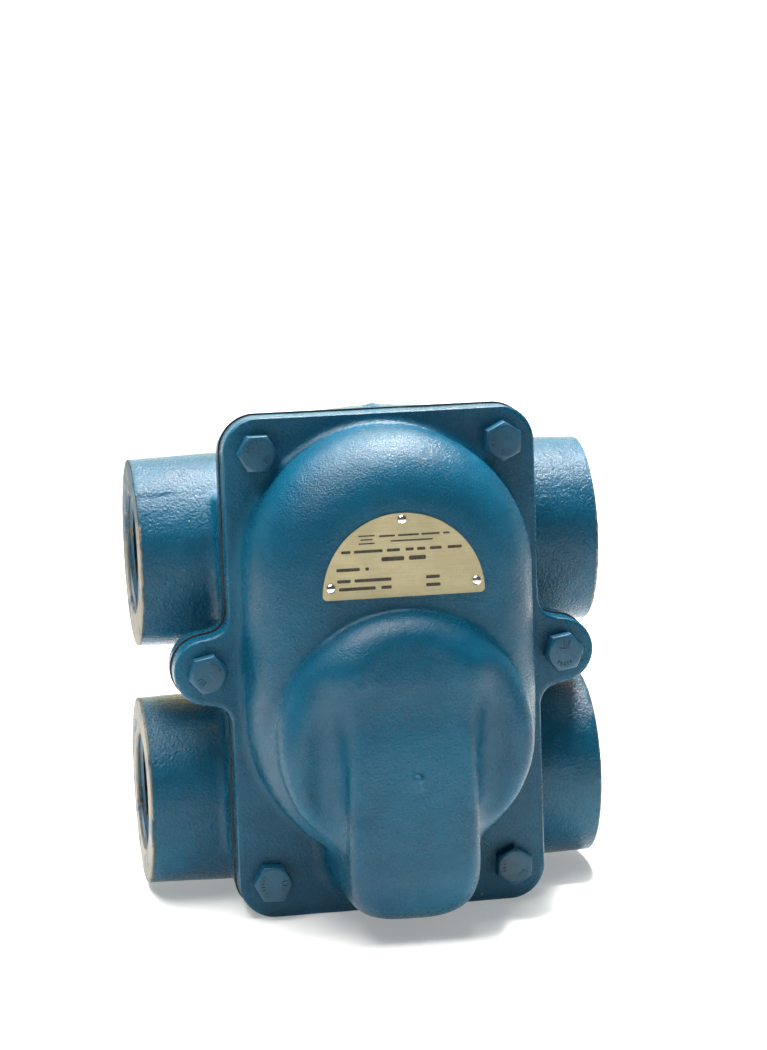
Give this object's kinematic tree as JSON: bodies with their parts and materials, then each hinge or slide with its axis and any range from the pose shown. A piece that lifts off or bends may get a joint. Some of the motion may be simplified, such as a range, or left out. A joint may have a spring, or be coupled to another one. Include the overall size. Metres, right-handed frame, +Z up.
{
  "type": "float and thermostatic steam trap",
  "caption": "Cast-iron float and thermostatic steam trap, H-pattern: side inlets above, side outlets below, bolted front cover with float dome and discharge chute.",
  "frame": {"origin": "on the floor, at the middle of the bounding box seen from above", "axes": "+Z up; the cover faces -Y; +X to the right seen from the front, along the pipe tappings"},
  "size_m": [0.1916, 0.166, 0.208],
  "materials": {
    "painted_casting": "teal-blue semi-gloss enamel over a sand-cast skin",
    "painted_bolts": "the same enamel over forged hexagon heads",
    "gasket_sheet": "compressed fibre sheet with an overspray of paint on its edge",
    "nameplate_metal": "satin, etched",
    "bright_screws": "bright plated drive screws",
    "stainless": "pressed and brushed",
    "hardened_stainless": "turned and ground",
    "soft_metal_gasket": "annealed copper"
  },
  "bodies": {
    "trap": {"trap_body": "painted_casting", "cover": "painted_casting", "cover_gasket": "gasket_sheet", "cover_bolts": "painted_bolts", "nameplate": "nameplate_metal", "nameplate_drive_screws": "bright_screws", "valve_seat": "hardened_stainless", "valve_seat_gasket": "soft_metal_gasket", "lever_bracket": "stainless", "bracket_screws": "stainless", "bracket_lock_washers": "stainless", "fulcrum_pin": "stainless", "pin_clips": "stainless", "vent_seat": "hardened_stainless", "vent_seat_gasket": "soft_metal_gasket", "vent_cage": "stainless", "vent_cage_screws": "stainless", "capsule_front_shell": "stainless", "capsule_back_shell": "stainless"},
    "float_arm": {"float_lever": "stainless", "valve_head": "hardened_stainless", "valve_retaining_pin": "stainless", "float_front_shell": "stainless", "float_rear_shell": "stainless", "float_stud": "stainless", "float_lock_washer": "stainless", "float_lock_nut": "stainless"},
    "vent_valve": {"vent_valve_pin": "hardened_stainless"}
  },
  "joints": [
    {"name": "float_hinge", "type": "hinge", "parent": "trap", "child": "float_arm", "pos_m": [0, -0.036, 0.0896], "axis": [1, 0, 0], "range_deg": [0, 24]},
    {"name": "vent_stroke", "type": "slide", "parent": "trap", "child": "vent_valve", "axis": [0, -1, 0], "range_m": [0, 0.0018], "stiffness_N_per_m": 300}
  ]
}
